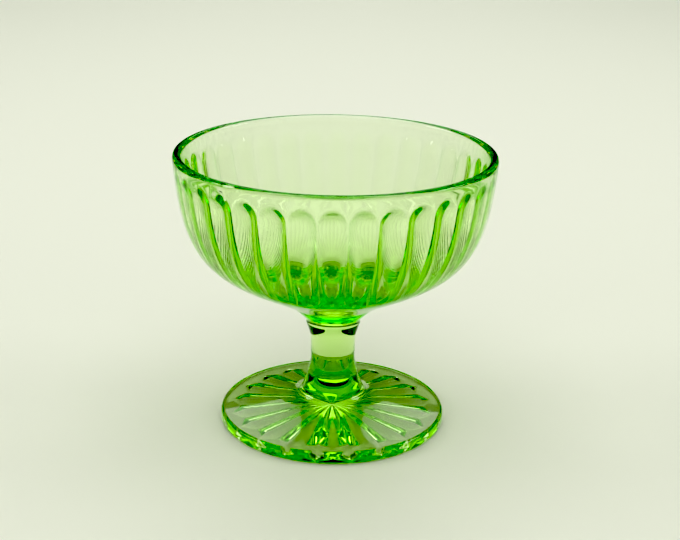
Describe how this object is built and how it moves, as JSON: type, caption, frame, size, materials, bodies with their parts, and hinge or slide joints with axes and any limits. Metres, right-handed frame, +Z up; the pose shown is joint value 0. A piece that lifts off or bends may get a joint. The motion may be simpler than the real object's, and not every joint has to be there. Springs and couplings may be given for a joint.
{
  "type": "footed sherbet glass",
  "caption": "Footed sherbet glass of green pressed glass: round bowl, smooth outside and panelled inside, with a plain rim, tapered collar, short waisted stem and round rayed foot.",
  "frame": {"origin": "centre of the flat ring under the foot, at the level of the surface it stands on", "axes": "+Z up through the stem and out of the bowl, -Y toward the viewer, +X to the viewer's right"},
  "size_m": [0.0966, 0.0966, 0.086],
  "materials": {
    "green_glass": "fire polished, clear yellow-green, darker where thick"
  },
  "bodies": {
    "root": {"bowl": "green_glass", "collar": "green_glass", "stem": "green_glass", "foot": "green_glass"}
  },
  "joints": []
}
